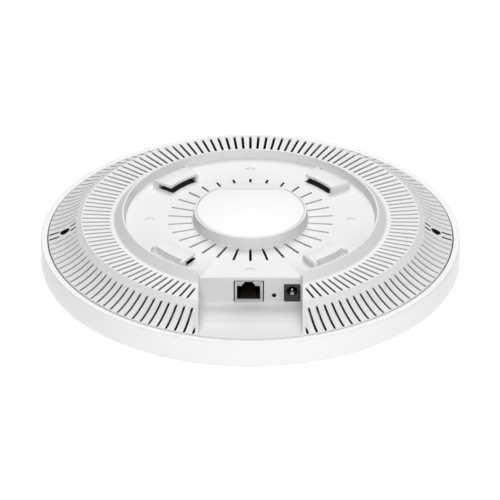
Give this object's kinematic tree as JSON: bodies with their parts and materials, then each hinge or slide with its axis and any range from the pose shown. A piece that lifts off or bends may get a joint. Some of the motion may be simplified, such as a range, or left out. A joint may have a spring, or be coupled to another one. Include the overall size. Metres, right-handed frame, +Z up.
{
  "type": "ceiling access point",
  "caption": "Large round ceiling access point with a vented back, bayonet hooks for its bracket, and a cable notch with network and power sockets.",
  "frame": {"origin": "on the round body's axis, level with the undersides of the four hooks, where the tabs of the ceiling bracket bear", "axes": "+Z points up to the ceiling, away from the domed face, and the cable notch with its sockets is on the -Y side"},
  "size_m": [0.2429, 0.243, 0.064],
  "materials": {
    "white_face": "fine satin moulding",
    "white_back": "fine satin moulding",
    "label_white": "smooth blank label",
    "board_green": "solder mask",
    "aluminium": "rolled sheet",
    "chip_black": "moulded epoxy",
    "thermal_pad": "soft silicone",
    "tinned_steel": "tinned sheet",
    "lead_grey": "jacket",
    "gold": "gold plate",
    "screw_steel": "zinc plate",
    "capacitor_sleeve": "shrunk sleeve",
    "ferrite": "sintered",
    "coil_tape": "film tape",
    "indicator": "diffusing",
    "clear_plastic": "polished",
    "nickel": "nickel plate",
    "black_plastic": "moulded",
    "button_black": "moulded",
    "switch_grey": "moulded"
  },
  "bodies": {
    "housing": {"antenna_1": "tinned_steel", "antenna_2": "tinned_steel", "antenna_3": "tinned_steel", "antenna_4": "tinned_steel", "antenna_lead_1": "lead_grey", "antenna_lead_2": "lead_grey", "antenna_lead_3": "lead_grey", "antenna_lead_4": "lead_grey", "antenna_plug_1": "gold", "antenna_plug_2": "gold", "antenna_plug_3": "gold", "antenna_plug_4": "gold", "board_screw_1": "screw_steel", "board_screw_2": "screw_steel", "board_screw_3": "screw_steel", "board_screw_4": "screw_steel", "capacitor_1": "capacitor_sleeve", "capacitor_2": "capacitor_sleeve", "capacitor_3": "capacitor_sleeve", "capacitor_4": "capacitor_sleeve", "cover_screw_1": "screw_steel", "cover_screw_2": "screw_steel", "dc_jack_body": "black_plastic", "dc_jack_pin": "nickel", "dc_jack_spring": "nickel", "front_cover": "white_face", "heat_spreader": "aluminium", "label_plate": "label_white", "main_board": "board_green", "memory_chip_1": "chip_black", "memory_chip_2": "chip_black", "network_transformer": "chip_black", "poe_bobbin": "coil_tape", "poe_core": "ferrite", "processor": "chip_black", "radio_chip_1": "chip_black", "radio_chip_2": "chip_black", "rear_cover": "white_back", "reset_switch_body": "switch_grey", "rf_shield_1": "tinned_steel", "rf_shield_2": "tinned_steel", "rj45_contact_1": "gold", "rj45_contact_2": "gold", "rj45_contact_3": "gold", "rj45_contact_4": "gold", "rj45_contact_5": "gold", "rj45_contact_6": "gold", "rj45_contact_7": "gold", "rj45_contact_8": "gold", "rj45_housing": "black_plastic", "rj45_led_window_1": "indicator", "rj45_led_window_2": "indicator", "rj45_shield": "nickel", "status_led": "indicator", "status_light_pipe": "clear_plastic", "thermal_pad_1": "thermal_pad", "thermal_pad_2": "thermal_pad", "thermal_pad_3": "thermal_pad"},
    "reset_button": {"reset_plunger": "button_black"}
  },
  "joints": [
    {"name": "reset_press", "type": "slide", "parent": "housing", "child": "reset_button", "axis": [0, 1, 0], "range_m": [0, 0.0003], "stiffness_N_per_m": 400}
  ]
}
